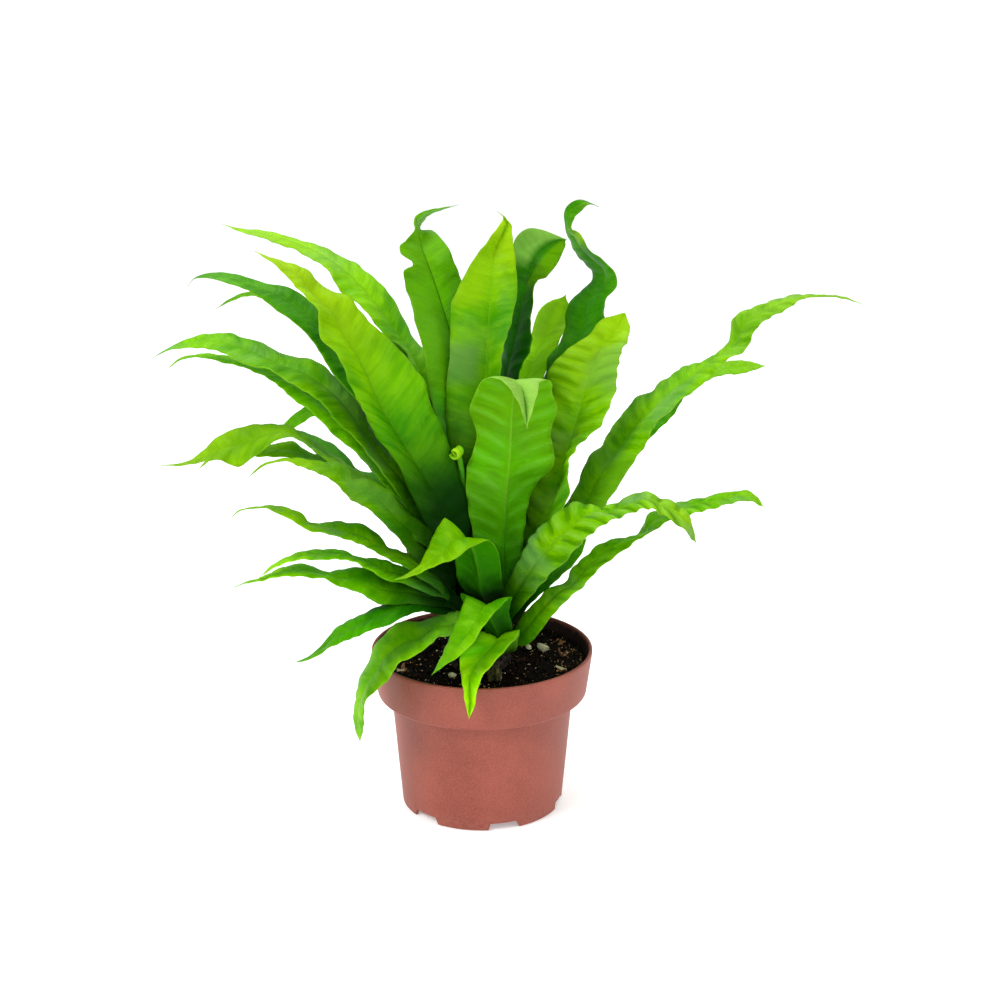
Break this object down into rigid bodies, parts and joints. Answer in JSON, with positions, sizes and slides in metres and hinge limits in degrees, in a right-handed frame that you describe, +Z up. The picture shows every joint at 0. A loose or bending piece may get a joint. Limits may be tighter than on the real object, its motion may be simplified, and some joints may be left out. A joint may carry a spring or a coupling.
{
  "type": "potted fern",
  "caption": "Bird's nest fern with strap fronds arching from a central crown, growing in a round tapered nursery pot with a wide rim band.",
  "frame": {"origin": "centre of the pot's underside, on the surface it stands on", "axes": "+Z up through the pot; -Y towards the pictured front; X along the widest spread of the fronds"},
  "size_m": [0.3796, 0.2437, 0.3228],
  "materials": {
    "pot_plastic": "fine matt grain, terracotta coloured plastic",
    "soil": "moist dark peat compost, crumbly",
    "crown": "dark fibrous rhizome",
    "stub": "old mossy leaf stub",
    "bark": "rough bark bits",
    "chip": "pale wood chips",
    "frond_bright": "glossy young leaf, yellow green",
    "frond_mid": "glossy leaf, mid green",
    "frond_dark": "glossy older leaf, dark green",
    "frond_young": "soft unrolling leaf, yellow green"
  },
  "bodies": {
    "root": {"pot": "pot_plastic", "soil": "soil", "crown": "crown", "leaf_stub": "stub", "young_frond": "frond_young", "bark_1": "bark", "bark_2": "bark", "bark_3": "bark", "bark_4": "bark", "chip_1": "chip", "chip_2": "chip", "chip_3": "chip", "frond_01": "frond_bright", "frond_02": "frond_bright", "frond_03": "frond_bright", "frond_04": "frond_bright", "frond_05": "frond_mid", "frond_06": "frond_mid", "frond_07": "frond_mid", "frond_08": "frond_mid", "frond_09": "frond_mid", "frond_10": "frond_mid", "frond_11": "frond_dark", "frond_12": "frond_mid", "frond_13": "frond_mid", "frond_14": "frond_mid", "frond_15": "frond_mid", "frond_16": "frond_bright", "frond_17": "frond_mid", "frond_18": "frond_bright", "frond_19": "frond_dark", "frond_20": "frond_mid", "frond_21": "frond_dark", "frond_22": "frond_dark", "frond_23": "frond_dark", "frond_24": "frond_dark", "frond_25": "frond_bright", "frond_26": "frond_mid", "frond_27": "frond_bright", "frond_28": "frond_mid", "frond_29": "frond_dark", "frond_30": "frond_mid", "frond_31": "frond_dark", "frond_32": "frond_bright", "frond_33": "frond_dark", "frond_34": "frond_dark", "frond_35": "frond_dark", "frond_36": "frond_mid", "frond_37": "frond_mid", "frond_38": "frond_mid", "frond_39": "frond_dark", "frond_40": "frond_dark"}
  },
  "joints": []
}
